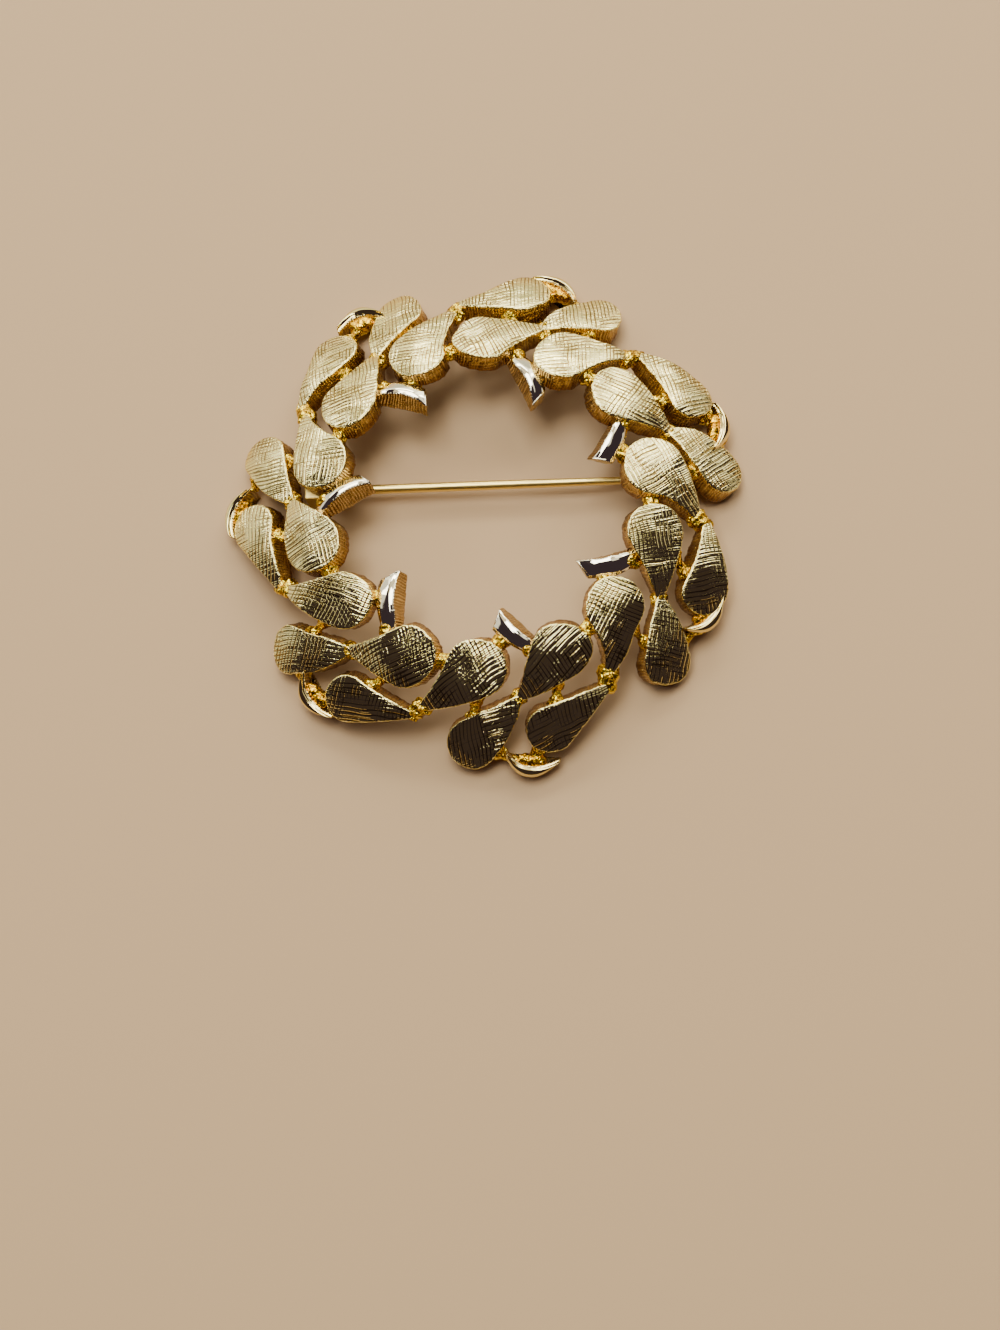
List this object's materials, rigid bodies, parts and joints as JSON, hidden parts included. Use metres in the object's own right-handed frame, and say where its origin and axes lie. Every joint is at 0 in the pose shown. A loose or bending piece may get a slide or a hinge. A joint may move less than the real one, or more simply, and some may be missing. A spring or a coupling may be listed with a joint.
{
  "type": "wreath brooch",
  "caption": "Round openwork brooch: a ring of sprays of pear-shaped leaves with mirror-bright bars, and a hinged pin across its back.",
  "frame": {"origin": "on the wreath's axis, in the plane of the feet on which the brooch lies", "axes": "+Z along the wreath's axis, out of its face; +X along the pin, from its hinge to its catch"},
  "size_m": [0.0494, 0.0496, 0.0071],
  "materials": {
    "gold_plate": "satin",
    "gold_pin": "polished"
  },
  "bodies": {
    "wreath": {"wreath": "gold_plate", "hinge_rivet": "gold_pin"},
    "pin": {"pin_stem": "gold_pin"}
  },
  "joints": [
    {"name": "pin_hinge", "type": "hinge", "parent": "wreath", "child": "pin", "pos_m": [-0.01599, 0.003, 0.00155], "axis": [0, 1, 0], "range_deg": [0, 100]}
  ]
}
